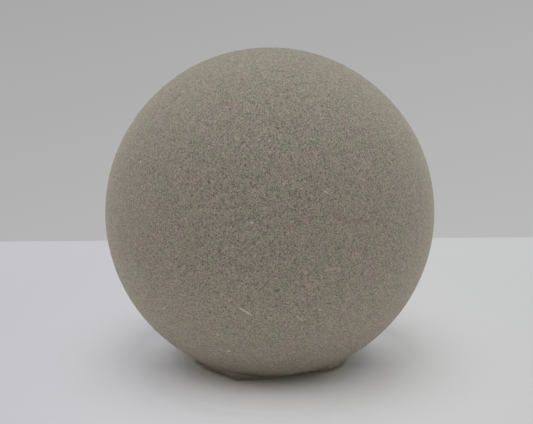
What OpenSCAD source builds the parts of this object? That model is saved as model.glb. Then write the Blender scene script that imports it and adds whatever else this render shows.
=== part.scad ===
// Stone garden sphere: a ball of sandy cast stone, one piece with the low foot
// that is left of its pouring neck. The neck was knocked off by hand, so the
// foot's rim is a ring of straight breaks and scooped chips, and no two sides
// of it are alike.
// Millimetres, +Z up. The origin is on the ground, straight under the ball's
// centre, and the front, where the foot lost most, faces -Y.

/* [Ball] */
// Diameter of the ball
ball_d = 200; // [120:5:400]

/* [Foot] */
// Radius of the pouring neck, which is the foot where nothing broke off it
foot_r = 48.5; // [38:0.5:55]
// Height of the neck's wall, from the ground to where it meets the ball
foot_h = 5.5; // [3:0.5:15]
// Radius of the hollow fillet where the neck's wall runs into the ball
fillet_r = 1.5; // [0.5:0.25:3]

/* [Breaks] */
// How far the break on the left of the front bites into the neck
left_bite = 3.4; // [1:0.1:8]
// How far the upright break in the middle of the front bites into the neck
front_bite = 6.2; // [1:0.1:9]
// How far the undercut break on the right of the front bites into the neck
right_bite = 9.3; // [1:0.1:11]
// How far the breaks out of sight, round the back, bite into the neck
back_bite = 2.6; // [1:0.1:6]
// How far a break's face leans out as it rises, in degrees
break_lean = 9; // [0:1:15]
// How far the undercut break's face leans out as it rises, in degrees
undercut_lean = 24; // [0:1:30]

/* [Chips] */
// Radius of the scooped chips
chip_r = 10; // [5:1:20]
// How far the chips in sight, on the front's rim, bite into the neck
chip_bite = 1.4; // [0.5:0.1:2.5]

/* [Hidden] */
$fn = 180;

ball_r = ball_d / 2;
// The ball meets the neck's wall at the height foot_h
centre_h = foot_h + sqrt(ball_r * ball_r - foot_r * foot_r);
// How far the foot's core reaches up into the ball
root = 8;

// Straight breaks round the rim: azimuth from +X, bite into the neck, lean
breaks = [
    [227, left_bite, break_lean],
    [271.5, front_bite, 0],
    [289, right_bite, undercut_lean],
    [317, front_bite / 4, break_lean],
    [18, back_bite, break_lean],
    [58, back_bite * 1.3, break_lean],
    [101, back_bite * 0.8, break_lean],
    [148, back_bite * 1.5, break_lean]
];

// Scooped chips: azimuth from +X, bite into the neck
chips = [
    [206, chip_bite],
    [349, chip_bite],
    [76, back_bite * 1.7],
    [124, back_bite * 1.15]
];

// The ball, cut off flat where it meets the ground
module ball() {
    difference() {
        translate([0, 0, centre_h])
            sphere(d = ball_d);
        translate([-ball_d, -ball_d, -ball_d])
            cube([2 * ball_d, 2 * ball_d, ball_d]);
    }
}

// The whole neck, before anything broke off it: a turned core that reaches up
// into the ball, with the hollow of a circle that touches both its wall and the
// ball
module neck() {
    reach = ball_r + fillet_r;
    x = foot_r + fillet_r;
    z = centre_h - sqrt(reach * reach - x * x);
    inwards = [-x, centre_h - z] / reach;
    rotate_extrude()
        difference() {
            polygon([[0, 0], [foot_r, 0], [foot_r, z], [x, z], [x, z] + inwards * root, [0, z + root]]);
            translate([x, z])
                circle(r = fillet_r);
        }
}

// All that lies beyond a plane that bites into the neck and leans out as it rises
module straight_break(azimuth, bite, lean) {
    rotate([0, 0, azimuth])
        translate([foot_r - bite, 0, 0])
            rotate([0, lean, 0])
                translate([0, -foot_r, -foot_h])
                    cube([foot_r, 2 * foot_r, 3 * foot_h + root]);
}

// A ball centred on the ground that bites into the neck from outside
module scooped_chip(azimuth, bite) {
    rotate([0, 0, azimuth])
        translate([foot_r - bite + chip_r, 0, 0])
            sphere(r = chip_r);
}

// The foot: what the breaks and chips left of the neck
module foot() {
    difference() {
        neck();
        for (b = breaks)
            straight_break(b[0], b[1], b[2]);
        for (c = chips)
            scooped_chip(c[0], c[1]);
    }
}

module stone_ball() {
    color([0.53, 0.50, 0.45])
        union() {
            ball();
            foot();
        }
}

stone_ball();
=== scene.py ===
"""Looks of a stone garden sphere: a ball of sandy cast stone on the broken rest of its pouring neck.

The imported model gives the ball's size and place. This script builds the stone's surface around it, with the
hollows, the pits and the broken rim that the plain solid lacks, and sets the floor, the light and the camera.
Everything is in metres, +Z up. The origin is on the ground under the ball's centre, and the front faces -Y.
"""

import logging
import math
from dataclasses import dataclass
from enum import Enum

import bpy
import numpy as np
from mathutils import Euler, Matrix, Vector


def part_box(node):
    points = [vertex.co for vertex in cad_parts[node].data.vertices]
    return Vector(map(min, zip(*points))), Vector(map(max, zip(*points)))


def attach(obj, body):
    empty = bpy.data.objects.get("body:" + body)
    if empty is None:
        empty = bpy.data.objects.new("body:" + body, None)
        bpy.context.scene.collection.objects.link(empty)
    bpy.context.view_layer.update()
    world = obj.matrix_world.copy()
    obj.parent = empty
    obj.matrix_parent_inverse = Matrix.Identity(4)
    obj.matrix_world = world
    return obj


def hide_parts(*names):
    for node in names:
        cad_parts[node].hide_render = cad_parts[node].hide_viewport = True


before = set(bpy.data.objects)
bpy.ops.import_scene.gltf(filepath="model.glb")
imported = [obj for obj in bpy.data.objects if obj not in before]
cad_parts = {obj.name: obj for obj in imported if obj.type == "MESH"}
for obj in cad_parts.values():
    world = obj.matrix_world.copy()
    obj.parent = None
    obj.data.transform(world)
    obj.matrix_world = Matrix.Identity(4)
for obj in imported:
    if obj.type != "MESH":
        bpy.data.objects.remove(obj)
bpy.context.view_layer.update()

Array = np.ndarray
Tree = bpy.types.NodeTree
Socket = bpy.types.NodeSocket
Inputs = dict[str | int, object]
Pair = tuple[float, float]
Triple = tuple[float, float, float]
LOG = logging.getLogger("stone_sphere")
MM = 0.001

# Odd factors, and shifts, that stir a whole number's bits, so that it looks random and is the same each run
STIR_X, STIR_Y, STIR_Z, STIR_SEED = 73856093, 19349663, 83492791, 2654435761
STIR_ROUNDS = ((15, 2246822519), (13, 3266489917))
STIR_LAST = 16
LOW_BITS = 0xFFFFFFFF
HALF_RANGE = 0x7FFFFFFF


def linear(hex_colour: str) -> tuple[float, float, float, float]:
    """Turns an sRGB hex colour into the linear colour that Blender's sockets take.

    Args:
        hex_colour: the colour as "#RRGGBB".

    Returns:
        Red, green, blue and an alpha of 1. Each channel c is ((c + 0.055) / 1.055) ** 2.4, or c / 12.92 near
        black.
    """
    channels = [int(hex_colour[i : i + 2], 16) / 255 for i in (1, 3, 5)]
    red, green, blue = (c / 12.92 if c <= 0.04045 else ((c + 0.055) / 1.055) ** 2.4 for c in channels)
    return red, green, blue, 1.0


def lattice_noise(points: Array, cell: float, seed: int) -> Array:
    """Smooth random heights in space.

    Each corner of a cubic lattice has a random number, stirred together from its three whole coordinates.
    Between corners, the eight numbers are blended with weights of 3t^2 - 2t^3 along each axis.

    Args:
        points: places in metres, three numbers in the last axis.
        cell: the lattice's spacing in metres.
        seed: which of many lattices to use.

    Returns:
        One height from -1 to 1 for each place.
    """
    scaled = points / cell
    corner = np.floor(scaled).astype(np.int64)
    t = scaled - corner
    t = t * t * (3 - 2 * t)
    total = np.zeros(points.shape[:-1])
    for step in np.ndindex(2, 2, 2):
        x, y, z = np.moveaxis(corner + step, -1, 0)
        number = (x * STIR_X ^ y * STIR_Y ^ z * STIR_Z ^ seed * STIR_SEED) & LOW_BITS
        for shift, factor in STIR_ROUNDS:
            number = ((number ^ (number >> shift)) * factor) & LOW_BITS
        height = (number ^ (number >> STIR_LAST)) / HALF_RANGE - 1
        total += height * np.prod(np.where(step, t, 1 - t), axis=-1)
    return total


def smooth_step(values: Array, low: float, high: float) -> Array:
    """Rises from 0 at low to 1 at high as 3t^2 - 2t^3."""
    t = np.clip((values - low) / (high - low), 0, 1)
    return t * t * (3 - 2 * t)


def heading(azimuth_deg: float, rise_deg: float) -> Vector:
    """The unit vector at an azimuth from +X and an angle above the level."""
    azimuth, rise = math.radians(azimuth_deg), math.radians(rise_deg)
    return Vector((math.cos(rise) * math.cos(azimuth), math.cos(rise) * math.sin(azimuth), math.sin(rise)))


@dataclass(frozen=True)
class Break:
    """A straight break down the neck's side: where it faces, how deep it bites, how far it leans out."""

    azimuth_deg: float
    bite_mm: float
    lean_deg: float = 9.0


@dataclass(frozen=True)
class Chip:
    """A chip scooped out of the rim by a ball of the given radius, centred on the ground."""

    azimuth_deg: float
    bite_mm: float
    radius_mm: float = 10.0


@dataclass(frozen=True)
class Foot:
    """The broken foot: the solid's neck, breaks and chips, with the leans and the fillet of worn stone."""

    neck_radius: float = 48.5 * MM
    neck_height: float = 5.5 * MM
    fillet: float = 3.2 * MM
    # A break's plane is only looked for where the angle from its middle has at least this cosine
    least_cosine: float = 0.3
    breaks: tuple[Break, ...] = (
        Break(227, 3.4, 16),
        Break(271.5, 6.2, -25),
        Break(289, 9.3, 24),
        Break(317, 1.6),
        Break(18, 2.6),
        Break(58, 3.4),
        Break(101, 2.1),
        Break(148, 3.9),
    )
    chips: tuple[Chip, ...] = (Chip(206, 1.4), Chip(349, 1.4), Chip(76, 4.4), Chip(124, 3.0))

    def reach(self, azimuth: Array, height: Array) -> Array:
        """How far the foot reaches from its axis.

        A break is met at (neck radius - bite + height * tan(lean)) / cos(angle from its middle). A chip is a
        ball centred at a distance c outside the rim, so it is met at c cos(a) - sqrt(r^2 - c^2 sin^2(a)),
        with r its radius at that height. The reach is the least of these and of the neck's own radius.

        Args:
            azimuth: angles from +X, in radians.
            height: heights above the ground, in metres.

        Returns:
            Distances from the axis, in metres.
        """
        reach = np.full(np.broadcast(azimuth, height).shape, self.neck_radius)
        for cut in self.breaks:
            turn = np.cos(azimuth - math.radians(cut.azimuth_deg))
            distance = self.neck_radius - cut.bite_mm * MM + height * math.tan(math.radians(cut.lean_deg))
            met = distance / np.maximum(turn, self.least_cosine)
            reach = np.where(turn > self.least_cosine, np.minimum(reach, met), reach)
        for chip in self.chips:
            radius = chip.radius_mm * MM
            away = self.neck_radius - chip.bite_mm * MM + radius
            turn = azimuth - math.radians(chip.azimuth_deg)
            inside = radius**2 - height**2 - (away * np.sin(turn)) ** 2
            met = away * np.cos(turn) - np.sqrt(np.maximum(inside, 0))
            reach = np.where((inside > 0) & (np.cos(turn) > 0), np.minimum(reach, met), reach)
        return reach


@dataclass(frozen=True)
class Dent:
    """A shallow round hollow in the ball, at an azimuth and an angle above the level of the ball's centre."""

    azimuth_deg: float
    rise_deg: float
    radius_mm: float
    depth_mm: float


@dataclass(frozen=True)
class Relief:
    """Random relief: how high it stands, how far apart its lattice's corners lie, and which lattice it is."""

    height_mm: float
    cell_mm: float
    seed: int

    def heights(self, places: Array) -> Array:
        """The relief at some places, from minus its height to its height, in metres."""
        return self.height_mm * MM * lattice_noise(places, self.cell_mm * MM, self.seed)


@dataclass(frozen=True)
class Outline:
    """The stone's smooth surface down to the ground, by rows down the stone and columns round it.

    outwards is the unit vector outwards in each column. For each place, out is its distance from the axis, up
    is its height above the ground, and wall is how far it belongs to the broken wall, from 0 to 1. The rows
    before edge_row are the ball's, and the rest are the wall's.
    """

    outwards: Array
    out: Array
    up: Array
    wall: Array
    edge_row: int

    def places(self) -> Array:
        """Works out the places.

        Returns:
            Places in metres, as rows by columns by 3.
        """
        places = self.out[..., None] * self.outwards
        places[..., 2] = self.up
        return places


@dataclass
class StoneBall:
    """The ball and its foot, one piece of cast stone.

    The mesh has columns of points round the stone, in rows that lie closer together near the foot.
    """

    foot: Foot
    radius: float
    centre_height: float
    columns: int = 480
    spacing: float = 1.4 * MM
    fine_spacing: float = 0.7 * MM
    fine_reach: float = 12 * MM
    wall_rows: int = 9
    base_spacing: float = 1.6 * MM
    sharp_deg: float = 50.0
    # Rounds in which the edge settles, and how many neck heights up ball and wall are blended
    edge_rounds: int = 8
    blend_heights: float = 2.0
    # The skin wanders a little, and the broken wall is crumbly, as is the ball's last stretch above it
    waves: tuple[Relief, ...] = (Relief(0.05, 22, 1), Relief(0.03, 6, 2))
    crumbs: tuple[Relief, ...] = (Relief(0.35, 7, 3), Relief(0.4, 2.6, 4), Relief(0.25, 1.3, 5))
    crumbly_stretch: float = 2.5 * MM
    # The underside has its own relief, and its rim's height fades out inwards by this power of the size
    underside: Relief = Relief(0.15, 5, 7)
    rim_fade: int = 8
    # The wall's lowest stretch is worn back and chipped upwards, in some places more than in others
    worn_stretch: float = 1.4 * MM
    worn_depth: float = 1.0 * MM
    worn_change: Relief = Relief(0.6, 3, 6)
    chip_height: float = 0.9 * MM
    chip_spread: float = 0.2
    # The first two are where the ball is a little flat, and the rest are pits
    dents: tuple[Dent, ...] = (
        Dent(14, 48, 45, 0.3),
        Dent(172, 34, 45, 0.3),
        Dent(272, -11, 2.6, 0.5),
        Dent(261, 32, 3.0, 0.35),
        Dent(265, 21, 2.4, 0.4),
        Dent(279, 51, 2.8, 0.4),
        Dent(306, 4, 2.4, 0.3),
        Dent(247, -5, 2.5, 0.3),
        Dent(38, 15, 2.8, 0.4),
        Dent(95, 30, 3.0, 0.4),
        Dent(140, -12, 2.6, 0.4),
        Dent(170, 10, 2.4, 0.4),
    )

    def skin_depth(self, places: Array) -> Array:
        """How far the ball's skin lies inside the true ball.

        Each wave adds its height, give or take its relief. Each dent adds depth * (1 - (d / radius)^2)^2,
        with d the straight distance from its middle.

        Args:
            places: places on the ball, in metres.

        Returns:
            Depths in metres, 0 or more.
        """
        depth = sum(wave.height_mm * MM + wave.heights(places) for wave in self.waves)
        centre = Vector((0, 0, self.centre_height))
        for dent in self.dents:
            middle = np.array(centre + self.radius * heading(dent.azimuth_deg, dent.rise_deg))
            apart = np.sum((places - middle) ** 2, axis=-1) / (dent.radius_mm * MM) ** 2
            depth += dent.depth_mm * MM * np.maximum(1 - apart, 0) ** 2
        return depth

    def edge(self, azimuth: Array) -> tuple[Array, Array]:
        """Where the ball's circle meets the foot's wall.

        The wall's reach at a height and the circle's height at a reach are taken from each other in turn,
        which soon settles. The reach is never less than that of the ball's own circle on the ground.

        Args:
            azimuth: angles from +X, in radians.

        Returns:
            The distance from the axis and the height above the ground, for each azimuth.
        """
        height = np.full(azimuth.shape, self.foot.neck_height)
        ground_reach = math.sqrt(self.radius**2 - self.centre_height**2)
        for _ in range(self.edge_rounds):
            reach = np.maximum(self.foot.reach(azimuth, height), ground_reach)
            height = self.centre_height - np.sqrt(self.radius**2 - reach**2)
        return reach, height

    def outline(self) -> Outline:
        """The smooth surface, from the top of the ball to the ground.

        For each azimuth, the profile is an arc of the ball's circle down to the edge, where it meets the
        foot's wall, and the line of the wall down to the ground. Near the edge, ball and wall are blended:
        where their distances from the axis differ by d, less than the fillet f, the further one is pushed out
        by (f - d)^2 / 4f.

        Returns:
            The smooth surface.
        """
        azimuth = np.arange(self.columns) * 2 * np.pi / self.columns
        reach, height = self.edge(azimuth)
        polar = np.pi - np.arcsin(reach / self.radius)
        fine = self.fine_reach / self.radius
        coarse_rows = round((float(polar.mean()) - fine) * self.radius / self.spacing)
        fine_rows = round(self.fine_reach / self.fine_spacing)
        coarse = np.linspace(0, 1, coarse_rows + 1)[:-1, None] * (polar - fine)
        down = np.concatenate([coarse, polar - fine * np.linspace(1, 0, fine_rows + 1)[:, None]])
        drop = np.linspace(0, 1, self.wall_rows + 1)[1:, None]
        up = np.concatenate([self.centre_height + self.radius * np.cos(down), height * (1 - drop)])

        ball_out = np.sqrt(np.maximum(self.radius**2 - (up - self.centre_height) ** 2, 0))
        ball_out[: len(down)] = self.radius * np.sin(down)
        wall_out = self.foot.reach(azimuth, up)
        blend = np.maximum(self.foot.fillet - np.abs(ball_out - wall_out), 0) ** 2 / (4 * self.foot.fillet)
        near_wall = up < self.foot.neck_height * self.blend_heights
        out = np.where(near_wall, np.maximum(ball_out, wall_out) + blend, ball_out)

        outwards = np.stack([np.cos(azimuth), np.sin(azimuth), np.zeros(self.columns)], axis=1)
        wall = np.ones_like(up)
        wall[: len(down)] = 1 - smooth_step((polar - down) * self.radius, 0, self.crumbly_stretch)
        return Outline(outwards, out, up, wall, len(down))

    def weather(self, outline: Outline) -> Array:
        """Lays the relief on the smooth surface.

        The skin's depth moves the ball's places towards its centre, and the crumbs move the wall's along the
        level. With n the change in wear as a share of its most, and w = (1 - height / worn stretch)^2, the
        wall's lowest stretch is worn back by (worn depth + change) w, and chipped upwards by
        chip height * (n + chip spread) w where that is above 0.

        Args:
            outline: the smooth surface.

        Returns:
            Places in metres, as rows by columns by 3.
        """
        places = outline.places()
        low = np.maximum(1 - outline.up / self.worn_stretch, 0) ** 2
        low[: outline.edge_row] = 0
        change = self.worn_change.heights(places)
        worn = (self.worn_depth + change) * low
        share = change / (self.worn_change.height_mm * MM)
        chipped = self.chip_height * np.maximum(share + self.chip_spread, 0) * low

        inwards = np.array([0, 0, self.centre_height]) - places
        inwards /= np.linalg.norm(inwards, axis=-1, keepdims=True)
        places += ((1 - outline.wall) * self.skin_depth(places))[..., None] * inwards
        crumbs = sum(crumb.heights(places) for crumb in self.crumbs)
        places += (outline.wall * crumbs - worn)[..., None] * outline.outwards
        places[..., 2] += chipped
        return places

    def base(self, rim: Array, reach: float) -> Array:
        """The underside, from inside the rim to its middle.

        Its rings are the rim's outline at shrinking sizes. Its relief stands up from the ground, and the
        rim's own height fades out inwards.

        Args:
            rim: the wall's lowest places.
            reach: how far the foot reaches from the axis on the ground, on the average.

        Returns:
            Places in metres, as rows by columns by 3, of which the last row is one point.
        """
        rows = round(reach / self.base_spacing)
        shrink = np.linspace(1, 0, rows + 1)[1:, None, None]
        base = rim * shrink
        bumps = self.underside.height_mm * MM + self.underside.heights(base)
        base[..., 2] = bumps + shrink[..., 0] ** self.rim_fade * rim[:, 2]
        base[-1] = base[-1].mean(axis=0)
        return base

    def ring_steps(self, grid: Array) -> list[int]:
        """How many columns each ring of the grid moves on by, so that its points stay evenly apart.

        Args:
            grid: the surface, as rows by columns by 3.

        Returns:
            A power of two for each ring, at most doubled or halved from one to the next, or 0 at a pole.
        """
        around = 2 * np.pi * np.hypot(grid[:, :, 0], grid[:, :, 1]).mean(1)
        steps = []
        for length in around:
            step = 1
            while length / self.columns * step * 2 < self.spacing and self.columns % (step * 2) == 0:
                step *= 2
            steps.append(step)
        steps[0] = steps[-1] = 0
        return steps

    def mesh(self, name: str, grid: Array, broken: Array) -> bpy.types.Mesh:
        """Makes the closed mesh of a grid whose first and last rows are poles.

        Args:
            name: the mesh's name.
            grid: the surface, as rows by columns by 3.
            broken: how broken the stone is at each place, which goes into an attribute of that name.

        Returns:
            The mesh, with its faces outwards.
        """
        steps = self.ring_steps(grid)
        picks = [slice(None, None, step or self.columns) for step in steps]
        rings = [grid[row, pick] for row, pick in enumerate(picks)]
        first = np.cumsum([0] + [len(ring) for ring in rings])
        faces = []
        for row in range(len(rings) - 1):
            upper = np.arange(len(rings[row])) + first[row]
            lower = np.arange(len(rings[row + 1])) + first[row + 1]
            faces += self.band(upper, lower)
        mesh = bpy.data.meshes.new(name)
        mesh.from_pydata(np.concatenate(rings).tolist(), [], faces)
        mesh.polygons.foreach_set("use_smooth", np.ones(len(mesh.polygons), bool))
        mesh.set_sharp_from_angle(angle=math.radians(self.sharp_deg))
        amount = mesh.attributes.new("broken", "FLOAT", "POINT")
        amounts = [broken[row, pick] for row, pick in enumerate(picks)]
        amount.data.foreach_set("value", np.concatenate(amounts))
        mesh.update()
        return mesh

    @staticmethod
    def band(upper: Array, lower: Array) -> list[list[int]]:
        """The faces between two rings, of which one may have twice the other's points, or be a pole.

        Args:
            upper: the upper ring's point numbers.
            lower: the lower ring's point numbers.

        Returns:
            The point numbers of each face, which faces outwards.
        """
        if len(upper) == 1:
            return np.stack([np.full_like(lower, upper[0]), lower, np.roll(lower, -1)], 1).tolist()
        if len(lower) == 1:
            return np.stack([np.full_like(upper, lower[0]), np.roll(upper, -1), upper], 1).tolist()
        if len(upper) == len(lower):
            return np.stack([upper, lower, np.roll(lower, -1), np.roll(upper, -1)], 1).tolist()
        coarse, fine = (upper, lower) if len(upper) < len(lower) else (lower, upper)
        here, mid, after = fine[::2], fine[1::2], np.roll(fine, -2)[::2]
        beyond = np.roll(coarse, -1)
        fans = ((coarse, here, mid), (coarse, mid, beyond), (mid, after, beyond))
        triangles = np.concatenate([np.stack(corners, 1) for corners in fans])
        if coarse is lower:
            triangles = triangles[:, ::-1]
        return triangles.tolist()

    def build(self) -> bpy.types.Object:
        """Makes the stone's surface, relief and all.

        Returns:
            The object, linked to the scene.
        """
        outline = self.outline()
        sides = self.weather(outline)
        base = self.base(sides[-1], float(outline.out[-1].mean()))
        grid = np.concatenate([sides, base])
        broken = np.concatenate([outline.wall, np.ones(base.shape[:2])])
        mesh = self.mesh("cast_stone_ball", grid, broken)
        ball = bpy.data.objects.new("cast_stone_ball", mesh)
        bpy.context.scene.collection.objects.link(ball)
        return ball


def add(tree: Tree, kind: str, inputs: Inputs | None = None, **settings: object) -> bpy.types.Node:
    """Adds one node with its settings, its input values and its links.

    Args:
        tree: the node tree.
        kind: the node's type name, without "ShaderNode".
        inputs: a socket to link from, or a plain value, for each input's name or number.
        settings: the node's own properties.

    Returns:
        The node.
    """
    node = tree.nodes.new("ShaderNode" + kind)
    for name, value in settings.items():
        setattr(node, name, value)
    for key, value in (inputs or {}).items():
        if isinstance(value, Socket):
            tree.links.new(value, node.inputs[key])
        else:
            node.inputs[key].default_value = value
    return node


class Tone(Enum):
    """What a mark on the stone's skin is, and its colour."""

    # A pit's dark colour is painted shade in its hollow, and a scratch is paler stone
    PIT = "#4D473F"
    SCRATCH = "#B5AFA3"


@dataclass(frozen=True)
class Mark:
    """A mark on the ball: what it is, where it is, how long and how strong it is.

    It is round, or where it has a width, an oval whose long axis is turned that far from level. It has its
    whole strength up to one share of its size, and fades to nothing at another.
    """

    tone: Tone
    azimuth_deg: float
    rise_deg: float
    length_mm: float
    strength: float = 0.6
    width_mm: float = 0.0
    turn_deg: float = 0.0
    depth_mm: float = 3.0
    whole_to: float = 0.5
    gone_at: float = 1.1

    def mask(self, tree: Tree, where: Socket, stone: StoneBall) -> Socket:
        """Adds the nodes that find the mark, as a ball or an ellipsoid around its place.

        Args:
            tree: the node tree.
            where: the place on the stone.
            stone: the ball, for its size.

        Returns:
            The socket of the mask, which falls from the mark's strength in its middle to 0.
        """
        normal = heading(self.azimuth_deg, self.rise_deg)
        place = Vector((0, 0, stone.centre_height)) + stone.radius * normal
        if self.width_mm:
            edge = 1.0
            level = Vector((-normal.y, normal.x, 0)).normalized()
            along = Matrix.Rotation(math.radians(self.turn_deg), 3, normal) @ level
            axes = Matrix((along, normal.cross(along), normal)).transposed().to_euler()
            size = Vector((self.length_mm, self.width_mm, self.depth_mm)) * MM / 2
            inside = {0: where, "Location": place, "Rotation": axes, "Scale": size}
            oval = add(tree, "Mapping", inside, vector_type="TEXTURE")
            away = add(tree, "VectorMath", {0: oval.outputs[0]}, operation="LENGTH")
        else:
            edge = self.length_mm * MM / 2
            away = add(tree, "VectorMath", {0: where, 1: place}, operation="DISTANCE")
        fade = {1: edge * self.gone_at, 2: edge * self.whole_to, 4: self.strength}
        return add(tree, "MapRange", {0: away.outputs["Value"]} | fade).outputs[0]


@dataclass(frozen=True)
class Grains:
    """Round grains of one kind, which lie one each in some of the cells of a random lattice.

    The share is how many of the cells hold a grain, the radius is a share of the cell's size, and the
    strength is how much of the grain's colour shows.
    """

    colour: str
    cell_mm: float
    share: float
    radius: float
    strength: float = 1.0
    # How much the cloud counts, how near the share a grain is only half there, and how soft its edge is
    gathering: float = 0.15
    doubt: float = 0.05
    softness: float = 0.4

    def mask(self, tree: Tree, where: Socket, cloud: Socket) -> Socket:
        """Adds the nodes that scatter the grains.

        A cell holds a grain where a random number from 0 to 1, plus gathering * (cloud - 0.5), is under the
        share, give or take the doubt. A grain fades from radius * (1 - softness) to radius * (1 + softness).

        Args:
            tree: the node tree.
            where: the place on the stone.
            cloud: slow noise from 0 to 1, which gathers the grains in loose groups.

        Returns:
            The socket of a mask, which is the strength in the grains and 0 between them.
        """
        cells = add(tree, "TexVoronoi", {"Vector": where, "Scale": 1 / (self.cell_mm * MM)})
        random = add(tree, "SeparateColor", {0: cells.outputs["Color"]})
        gathered = {0: cloud, 1: self.gathering, 2: random.outputs[0]}
        chance = add(tree, "Math", gathered, operation="MULTIPLY_ADD")
        middle = self.share + self.gathering / 2
        held = add(tree, "MapRange", {0: chance.outputs[0], 1: middle + self.doubt, 2: middle - self.doubt})
        fade = {1: self.radius * (1 + self.softness), 2: self.radius * (1 - self.softness), 4: self.strength}
        near = add(tree, "MapRange", {0: cells.outputs["Distance"]} | fade)
        both = {0: held.outputs[0], 1: near.outputs[0]}
        return add(tree, "Math", both, operation="MULTIPLY").outputs[0]


@dataclass(frozen=True)
class CastStone:
    """Cast stone: sand and cement, rammed damp into a mould and left as it came out.

    To the eye it is quite matt and evenly sandy, of one warm grey that is cloudy close to, with dark and pale
    grains, small pits darkened with painted shade on top of their relief, and a few scratches. Where it
    broke, it is browner and shows the sand bare, and is paler, partly its own fresh colour and partly painted
    light that lifts the shaded broken wall. Its sand is 0.5 mm across, its dark grains are 0.7 mm and its
    pale ones
    1 mm, as in real cast stone. Finer dust is left to the roughness and the sheen.
    """

    # Cement of two tints, which lies in patches, and the stone's browner inside, whose paleness is partly its
    # own and partly painted light for the shaded broken wall
    greenish: str = "#707062"
    pinkish: str = "#796E66"
    inside: str = "#B8A893"
    cloud_mm: float = 5.5
    sand_mm: float = 0.5
    dark: Grains = Grains("#4A443D", 1.2, 0.25, 0.3)
    pale: Grains = Grains("#9C958A", 2.6, 0.08, 0.2, 0.5)
    # The pinkish cement gains a little towards the stone's left and its bottom, by so much a metre
    pinker: Triple = (-0.4, 0, -0.3)
    # How far each grain of sand leans to one of the cements, and where greenish and pinkish are pure
    lean: float = 0.12
    patches: Pair = (0.245, 0.795)
    # The darkest and the palest grain of sand, as a share of the cement's colour
    sand_tones: Pair = (0.37, 1.64)
    # How much of the sand's tones shows where the stone broke
    bareness: float = 0.6
    # Relief too fine for the mesh: the sand stands up, and the dark grains and the pits lie low
    bump_height: float = 0.3 * MM
    bump_strength: float = 0.8
    sand_fall: float = -0.5
    dark_fall: float = -0.8
    pit_fall: float = -1.5
    # Dry cement is matt, and its dust gives it a faint pale sheen where it is seen aslant
    roughness: Pair = (0.88, 0.98)
    sheen: float = 0.2
    sheen_roughness: float = 0.5
    sheen_tint: str = "#D8CEBE"
    marks: tuple[Mark, ...] = (
        Mark(Tone.PIT, 272, -11, 3.8, 0.7, 2, 20),
        Mark(Tone.PIT, 261, 32, 3.4, 0.7, 1.3, 60),
        Mark(Tone.PIT, 273, 24.5, 2.6, 0.6, 1, -15),
        Mark(Tone.PIT, 246.5, -4.5, 3.6, 0.6, 1.1, 10),
        Mark(Tone.PIT, 255.5, 0.5, 3.2, 0.6, 1.6, 60),
        Mark(Tone.PIT, 279, 51, 2.6, 0.6, 1.3, 45),
        Mark(Tone.PIT, 264.5, 21.5, 1.4, 0.8),
        Mark(Tone.PIT, 264.5, 20, 1.4, 0.7),
        Mark(Tone.PIT, 265.5, 19.5, 1.5, 0.7),
        Mark(Tone.PIT, 262.5, 31, 1.6),
        Mark(Tone.PIT, 277, 50, 1.8),
        Mark(Tone.PIT, 277, 27, 1.5, 0.8),
        Mark(Tone.PIT, 305.5, 3.5, 1.6),
        Mark(Tone.PIT, 277, -2, 1.6),
        Mark(Tone.PIT, 276, -4, 1.4),
        Mark(Tone.PIT, 298.5, -8, 1.5),
        Mark(Tone.PIT, 279.5, -15.5, 1.5),
        Mark(Tone.PIT, 315, 24, 1.6),
        Mark(Tone.PIT, 221, 24.5, 1.7),
        Mark(Tone.PIT, 251.5, 20, 1.5, 0.7),
        Mark(Tone.PIT, 268.5, 15.5, 1.7, 0.5),
        Mark(Tone.PIT, 269.5, 8, 1.9),
        Mark(Tone.PIT, 262, 10, 1.5),
        Mark(Tone.PIT, 264, 10, 1.5),
        Mark(Tone.PIT, 287.5, 16, 1.3, 0.7),
        Mark(Tone.PIT, 271, 1, 1.5),
        Mark(Tone.PIT, 288.5, 6, 1.4),
        Mark(Tone.PIT, 265.5, 3.5, 1.5),
        Mark(Tone.PIT, 273, 36.5, 1.6),
        Mark(Tone.PIT, 235, 32, 1.8),
        Mark(Tone.PIT, 301.5, 46.5, 1.8),
        Mark(Tone.PIT, 254, 43.5, 1.6),
        Mark(Tone.PIT, 313, 23, 1.8),
        Mark(Tone.PIT, 319.5, -6, 1.8),
        Mark(Tone.PIT, 216.5, -4.5, 1.8),
        Mark(Tone.SCRATCH, 262.5, -18.5, 9.4, 0.5, 1.4, -36),
        Mark(Tone.SCRATCH, 279.5, -21.5, 5, 0.4, 1.1, -40),
        Mark(Tone.SCRATCH, 287, 17, 5.6, 0.35, 1.1, -44),
        Mark(Tone.SCRATCH, 287.5, -5.5, 8, 0.3, 1.1, 10),
        Mark(Tone.SCRATCH, 253.5, -37, 2.8, 0.7, 1.3, 10),
        Mark(Tone.SCRATCH, 246.5, -40.5, 1.4),
        Mark(Tone.SCRATCH, 221.5, 24, 1.5, 0.7),
        Mark(Tone.SCRATCH, 265, 9, 1.4),
        Mark(Tone.SCRATCH, 285.5, -18.5, 1.6, 0.5),
        Mark(Tone.SCRATCH, 278.5, -20.5, 1.4, 0.45),
    )

    def marked(self, tree: Tree, where: Socket, tone: Tone, stone: StoneBall) -> Socket:
        """Adds the nodes that find all marks of one kind.

        Args:
            tree: the node tree.
            where: the place on the stone.
            tone: the kind of mark.
            stone: the ball, for its size.

        Returns:
            The socket of the mask, the greatest of the marks' own.
        """
        found: float | Socket = 0.0
        for mark in self.marks:
            if mark.tone is tone:
                both = {0: found, 1: mark.mask(tree, where, stone)}
                found = add(tree, "Math", both, operation="MAXIMUM").outputs[0]
        return found

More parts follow.
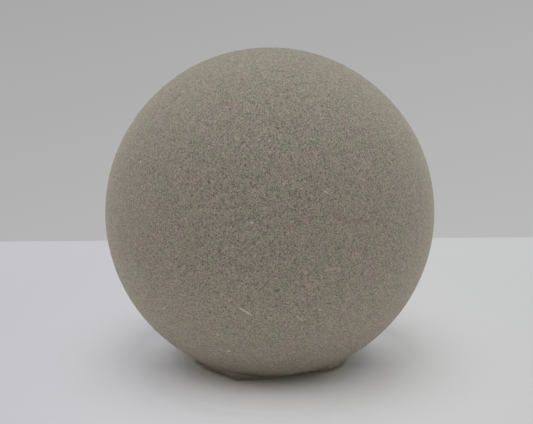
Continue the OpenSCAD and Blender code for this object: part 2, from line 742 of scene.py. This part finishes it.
    def material(self, stone: StoneBall) -> bpy.types.Material:
        """Makes the material.

        Args:
            stone: the ball, for the places of the marks.

        Returns:
            The material.
        """
        made = bpy.data.materials.new("cast_stone")
        made.use_nodes = True
        tree = made.node_tree
        tree.nodes.clear()
        where = add(tree, "TexCoord").outputs["Object"]
        clouds = {"Vector": where, "Scale": 1 / (self.cloud_mm * MM), "Detail": 1.0}
        cloud = add(tree, "TexNoise", clouds).outputs["Fac"]
        sand = add(tree, "TexVoronoi", {"Vector": where, "Scale": 1 / (self.sand_mm * MM)})
        grain = add(tree, "SeparateColor", {0: sand.outputs["Color"]})

        # Cloudy patches of greenish and pinkish cement
        slope = add(tree, "VectorMath", {0: where, 1: self.pinker}, operation="DOT_PRODUCT")
        drift = add(tree, "Math", {0: slope.outputs["Value"], 1: cloud}, operation="ADD")
        leaning = {0: grain.outputs[0], 1: self.lean, 2: drift.outputs[0]}
        lean = add(tree, "Math", leaning, operation="MULTIPLY_ADD")
        patch = add(tree, "MapRange", {0: lean.outputs[0], 1: self.patches[0], 2: self.patches[1]})
        cement = {0: patch.outputs[0], 6: linear(self.greenish), 7: linear(self.pinkish)}
        colour = add(tree, "Mix", cement, data_type="RGBA").outputs[2]

        # Each grain of sand has its own tone, by the sum of two random numbers from 0 to 1
        both = add(tree, "Math", {0: grain.outputs[1], 1: grain.outputs[2]}, operation="ADD")
        tones = {0: both.outputs[0], 2: 2.0, 3: self.sand_tones[0], 4: self.sand_tones[1]}
        tone = add(tree, "MapRange", tones).outputs[0]
        sandy = {0: 1.0, 6: colour, 7: tone}
        colour = add(tree, "Mix", sandy, data_type="RGBA", blend_type="MULTIPLY").outputs[2]

        dark = self.dark.mask(tree, where, cloud)
        pale = self.pale.mask(tree, where, cloud)
        for mask, over in ((dark, self.dark.colour), (pale, self.pale.colour)):
            colour = add(tree, "Mix", {0: mask, 6: colour, 7: linear(over)}, data_type="RGBA").outputs[2]

        # The broken faces show the browner inside of the stone, partly its own colour and partly painted
        # light that lifts the shaded wall under the ball
        bare = {0: self.bareness, 6: linear(self.inside), 7: tone}
        raw = add(tree, "Mix", bare, data_type="RGBA", blend_type="MULTIPLY").outputs[2]
        broken = add(tree, "Attribute", attribute_name="broken").outputs["Fac"]
        colour = add(tree, "Mix", {0: broken, 6: colour, 7: raw}, data_type="RGBA").outputs[2]

        # Pits are darkened with painted shade in their hollows, and scratches are paler stone
        pits = self.marked(tree, where, Tone.PIT, stone)
        scratches = self.marked(tree, where, Tone.SCRATCH, stone)
        for mask, over in ((pits, Tone.PIT.value), (scratches, Tone.SCRATCH.value)):
            colour = add(tree, "Mix", {0: mask, 6: colour, 7: linear(over)}, data_type="RGBA").outputs[2]

        height = 1.0
        falls = ((sand.outputs["Distance"], self.sand_fall), (dark, self.dark_fall), (pits, self.pit_fall))
        for mask, fall in falls:
            height = add(tree, "Math", {0: mask, 1: fall, 2: height}, operation="MULTIPLY_ADD").outputs[0]
        uneven = {"Strength": self.bump_strength, "Distance": self.bump_height, "Height": height}
        bump = add(tree, "Bump", uneven)
        rough = add(tree, "MapRange", {0: grain.outputs[1], 3: self.roughness[0], 4: self.roughness[1]})
        look = {
            "Base Color": colour,
            "Roughness": rough.outputs[0],
            "Normal": bump.outputs[0],
            "Sheen Weight": self.sheen,
            "Sheen Roughness": self.sheen_roughness,
            "Sheen Tint": linear(self.sheen_tint),
        }
        shader = add(tree, "BsdfPrincipled", look)
        add(tree, "OutputMaterial", {"Surface": shader.outputs[0]})
        return made


@dataclass(frozen=True)
class FloorPaper:
    """White paper, which is grey and faintly glowing to the camera, and whiter to the stone.

    To the camera its level is (plain + rise) * ring * behind * beside, in which rise, ring, behind and beside
    are painted light and shade:
    - plain goes evenly from one level to another between two places on Y.
    - rise is rise_level / (1 + (d / rise_reach)^2)^1.5, with d the distance from rise_middle. It is a painted
      pool of light, for the light that real paper scatters under the ball.
    - ring is 1 - ((ring_reach - r) / ring_depth)^2 inside ring_reach, with r the distance from the axis, and
      ring_least at the least. It is the foot's own shadow, painted.
    - behind is 1, and grows to 1 + behind_gain between two places on Y and two distances from the axis. It is
      painted light that lightens the shadow behind the foot.
    - beside is 1, and falls to beside_least in the last beside_reach next to the stone. It is painted shade,
      where hardly any light gets in.
    """

    plain: Pair = (0.315, 0.341)
    plain_y: Pair = (-100 * MM, 250 * MM)
    rise_level: float = 9.67
    rise_reach: float = 26.2 * MM
    rise_middle: Triple = (-2.4 * MM, -23.2 * MM, 0)
    ring_reach: float = 71.5 * MM
    ring_depth: float = 30.95 * MM
    ring_least: float = 0.25
    behind_gain: float = 0.8
    behind_y: Pair = (-20 * MM, 15 * MM)
    behind_out: Pair = (90 * MM, 55 * MM)
    beside_reach: float = 3 * MM
    beside_least: float = 0.15
    beside_samples: int = 16
    # Tints at the right and at the left, and a warm tint close to the foot, which is painted light: the
    # colour that the stone throws on the floor
    right: Triple = (1.01, 1.02, 1.02)
    left: Triple = (0.99, 0.99, 1.04)
    side_x: Pair = (100 * MM, -100 * MM)
    warm: Triple = (1.03, 1, 0.86)
    warm_out: Pair = (60 * MM, 42 * MM)
    # The paper as the stone sees it, and how far the one that the camera sees glows
    bounce: Triple = (0.99, 0.97, 0.95)
    glow: float = 0.03

    def level(self, tree: Tree, where: Socket) -> Socket:
        """Adds the nodes of the level that the camera sees, with its painted light and shade.

        Args:
            tree: the node tree.
            where: the place on the floor.

        Returns:
            The socket of the level.
        """
        along = add(tree, "SeparateXYZ", {0: where}).outputs["Y"]
        out = add(tree, "VectorMath", {0: where}, operation="LENGTH").outputs["Value"]
        ends = {1: self.plain_y[0], 2: self.plain_y[1], 3: self.plain[0], 4: self.plain[1]}
        plain = add(tree, "MapRange", {0: along} | ends)
        # Painted pool of light on the paper under the ball
        apart = add(tree, "VectorMath", {0: where, 1: self.rise_middle}, operation="DISTANCE")
        far = add(tree, "Math", {0: apart.outputs["Value"], 1: self.rise_reach}, operation="DIVIDE")
        wide = add(tree, "Math", {0: far.outputs[0], 1: far.outputs[0], 2: 1.0}, operation="MULTIPLY_ADD")
        steep = add(tree, "Math", {0: wide.outputs[0], 1: 1.5}, operation="POWER")
        rise = add(tree, "Math", {0: self.rise_level, 1: steep.outputs[0]}, operation="DIVIDE")
        pale = add(tree, "Math", {0: rise.outputs[0], 1: plain.outputs[0]}, operation="ADD")

        # Painted shadow of the foot on the paper
        gap = add(tree, "Math", {0: self.ring_reach, 1: out}, operation="SUBTRACT", use_clamp=True)
        deep = add(tree, "Math", {0: gap.outputs[0], 1: self.ring_depth}, operation="DIVIDE")
        loss = add(tree, "Math", {0: deep.outputs[0], 1: deep.outputs[0]}, operation="MULTIPLY")
        ring = add(tree, "Math", {0: 1.0, 1: loss.outputs[0]}, operation="SUBTRACT")
        least = add(tree, "Math", {0: ring.outputs[0], 1: self.ring_least}, operation="MAXIMUM")
        dim = add(tree, "Math", {0: pale.outputs[0], 1: least.outputs[0]}, operation="MULTIPLY")

        # Painted light that lightens the paper behind the foot
        ends = {1: self.behind_y[0], 2: self.behind_y[1], 4: self.behind_gain}
        back = add(tree, "MapRange", {0: along} | ends)
        close = add(tree, "MapRange", {0: out, 1: self.behind_out[0], 2: self.behind_out[1]})
        gain = add(tree, "Math", {0: back.outputs[0], 1: close.outputs[0], 2: 1.0}, operation="MULTIPLY_ADD")
        lit = add(tree, "Math", {0: dim.outputs[0], 1: gain.outputs[0]}, operation="MULTIPLY")

        # Painted shade in the last few millimetres beside the stone
        beside = add(tree, "AmbientOcclusion", {"Distance": self.beside_reach}, samples=self.beside_samples)
        shade = add(tree, "MapRange", {0: beside.outputs["AO"], 3: self.beside_least})
        return add(tree, "Math", {0: lit.outputs[0], 1: shade.outputs[0]}, operation="MULTIPLY").outputs[0]

    def tint(self, tree: Tree, where: Socket) -> Socket:
        """Adds the nodes of the tint that the camera sees, with the painted warm light close to the foot.

        Args:
            tree: the node tree.
            where: the place on the floor.

        Returns:
            The socket of the tint.
        """
        across = add(tree, "SeparateXYZ", {0: where}).outputs["X"]
        out = add(tree, "VectorMath", {0: where}, operation="LENGTH").outputs["Value"]
        side = add(tree, "MapRange", {0: across, 1: self.side_x[0], 2: self.side_x[1]}).outputs[0]
        cool = add(tree, "Mix", {0: side, 6: (*self.right, 1), 7: (*self.left, 1)}, data_type="RGBA")
        # Painted warm light from the stone on the paper close to the foot
        near = add(tree, "MapRange", {0: out, 1: self.warm_out[0], 2: self.warm_out[1]}).outputs[0]
        both = {0: near, 6: cool.outputs[2], 7: (*self.warm, 1)}
        return add(tree, "Mix", both, data_type="RGBA").outputs[2]

    def material(self) -> bpy.types.Material:
        """Makes the material.

        Returns:
            The material.
        """
        made = bpy.data.materials.new("floor_paper")
        made.use_nodes = True
        tree = made.node_tree
        tree.nodes.clear()
        where = add(tree, "TexCoord").outputs["Object"]
        tinted = {0: self.tint(tree, where), 3: self.level(tree, where)}
        paper = add(tree, "VectorMath", tinted, operation="SCALE")
        seen = add(tree, "BsdfDiffuse", {"Color": paper.outputs[0]})
        glow = add(tree, "Emission", {"Color": linear("#FFFFFF"), "Strength": self.glow})
        both = add(tree, "AddShader", {0: seen.outputs[0], 1: glow.outputs[0]})
        bounce = add(tree, "BsdfDiffuse", {"Color": (*self.bounce, 1)})
        camera = add(tree, "LightPath").outputs["Is Camera Ray"]
        mixed = add(tree, "MixShader", {0: camera, 1: bounce.outputs[0], 2: both.outputs[0]})
        add(tree, "OutputMaterial", {"Surface": mixed.outputs[0]})
        return made


@dataclass(frozen=True)
class SoftLight:
    """Soft light from all round, and the plain grey wall that the camera and any gloss see instead.

    With x, y and z the parts of a direction, and z at least 0, the light is
    overhead * z^overhead_power * (1 + overhead_back * y) from above, and
    sides - front_loss * (1 - z^2) * clamp(-front_steep * y) + right_gain * x from all round, so that the
    front is dimmer. The wall's grey is wall_level, plus wall_slope times the direction.
    """

    overhead: float = 6.4
    overhead_power: float = 8.0
    overhead_back: float = 0.6
    sides: float = 0.33
    front_loss: float = 0.26
    front_steep: float = 1.3
    right_gain: float = 0.065
    wall_level: float = 0.425
    wall_slope: Triple = (0.045, 0, -0.21)

    def light(self, tree: Tree, where: Socket) -> Socket:
        """Adds the nodes of the light's level.

        Args:
            tree: the node tree.
            where: the direction.

        Returns:
            The socket of the level.
        """
        axes = add(tree, "SeparateXYZ", {0: where})
        up = add(tree, "Math", {0: axes.outputs["Z"], 1: 0.0}, operation="MAXIMUM")
        peak = add(tree, "Math", {0: up.outputs[0], 1: self.overhead_power}, operation="POWER")
        more = {0: axes.outputs["Y"], 1: self.overhead_back, 2: 1.0}
        back = add(tree, "Math", more, operation="MULTIPLY_ADD")
        top = add(tree, "Math", {0: peak.outputs[0], 1: back.outputs[0]}, operation="MULTIPLY")

        high = add(tree, "Math", {0: up.outputs[0], 1: up.outputs[0]}, operation="MULTIPLY")
        low = add(tree, "Math", {0: 1.0, 1: high.outputs[0]}, operation="SUBTRACT")
        facing = {0: axes.outputs["Y"], 1: -self.front_steep}
        front = add(tree, "Math", facing, operation="MULTIPLY", use_clamp=True)
        dim = add(tree, "Math", {0: front.outputs[0], 1: low.outputs[0]}, operation="MULTIPLY")
        around = {0: dim.outputs[0], 1: -self.front_loss, 2: self.sides}
        side = add(tree, "Math", around, operation="MULTIPLY_ADD")
        right = {0: axes.outputs["X"], 1: self.right_gain, 2: side.outputs[0]}
        tilt = add(tree, "Math", right, operation="MULTIPLY_ADD")
        both = {0: top.outputs[0], 1: self.overhead, 2: tilt.outputs[0]}
        return add(tree, "Math", both, operation="MULTIPLY_ADD").outputs[0]

    def world(self) -> bpy.types.World:
        """Makes the world.

        Returns:
            The world, not yet the scene's.
        """
        world = bpy.data.worlds.new("studio")
        world.use_nodes = True
        tree = world.node_tree
        tree.nodes.clear()
        where = add(tree, "TexCoord").outputs["Generated"]
        light = add(tree, "Background", {"Color": (1, 1, 1, 1), "Strength": self.light(tree, where)})
        slope = add(tree, "VectorMath", {0: where, 1: self.wall_slope}, operation="DOT_PRODUCT")
        tone = add(tree, "Math", {0: slope.outputs["Value"], 1: self.wall_level}, operation="ADD")
        wall = add(tree, "Background", {"Color": linear("#FFFFFF"), "Strength": tone.outputs[0]})
        rays = add(tree, "LightPath").outputs
        shown = rays["Is Camera Ray"]
        for other in ("Is Glossy Ray", "Is Transmission Ray"):
            shown = add(tree, "Math", {0: shown, 1: rays[other]}, operation="MAXIMUM").outputs[0]
        both = add(tree, "MixShader", {0: shown, 1: light.outputs[0], 2: wall.outputs[0]})
        add(tree, "OutputWorld", {"Surface": both.outputs[0]})
        return world


@dataclass(frozen=True)
class Studio:
    """The floor, the light and the camera.

    The floor's width, its back edge and the camera's distance are in the ball's radii.
    """

    ball_radius: float
    centre_height: float
    floor_reach: float = 40.0
    floor_back: float = 3.0
    distance: float = 4.603
    elevation_deg: float = 12.0
    aim_left_deg: float = 0.25
    roll_deg: float = -0.54
    lens_mm: float = 50.0
    sensor_mm: float = 36.0

    def floor(self) -> None:
        """Lays the floor, whose far edge is the line between floor and wall."""
        side = self.floor_reach * self.ball_radius
        back = self.floor_back * self.ball_radius
        mesh = bpy.data.meshes.new("floor")
        corners = [(-side, -side, 0), (side, -side, 0), (side, back, 0), (-side, back, 0)]
        mesh.from_pydata(corners, [], [(0, 1, 2, 3)])
        mesh.materials.append(FloorPaper().material())
        floor = bpy.data.objects.new("floor", mesh)
        bpy.context.scene.collection.objects.link(floor)

    def camera(self) -> None:
        """Sets the camera in front of the ball, looking a little down."""
        data = bpy.data.cameras.new("camera")
        data.lens = self.lens_mm
        data.sensor_width = self.sensor_mm
        camera = bpy.data.objects.new("camera", data)
        bpy.context.scene.collection.objects.link(camera)
        bpy.context.scene.camera = camera
        down = math.radians(self.elevation_deg)
        away = self.distance * self.ball_radius
        camera.location = (0, -away * math.cos(down), self.centre_height + away * math.sin(down))
        aim = Euler((math.pi / 2 - down, 0, math.radians(self.aim_left_deg)))
        turn = aim.to_matrix() @ Matrix.Rotation(math.radians(self.roll_deg), 3, "Z")
        camera.rotation_euler = turn.to_euler()

    def build(self) -> None:
        """Builds it all."""
        self.floor()
        bpy.context.scene.world = SoftLight().world()
        self.camera()
        bpy.context.scene.view_settings.view_transform = "Standard"


def main() -> None:
    """Builds the stone and the studio."""
    logging.basicConfig(level=logging.INFO, format="%(name)s: %(message)s")
    low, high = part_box("stone_ball")
    radius = (high.x - low.x + high.y - low.y) / 4
    centre_height = high.z - radius

    stone = StoneBall(Foot(), radius, centre_height)
    ball = stone.build()
    ball.data.materials.append(CastStone().material(stone))
    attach(ball, "root")
    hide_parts("stone_ball")
    triangles = sum(len(face.vertices) - 2 for face in ball.data.polygons)
    LOG.info("%s: %d triangles", ball.name, triangles)

    Studio(radius, centre_height).build()


if __name__ == "__main__":
    main()
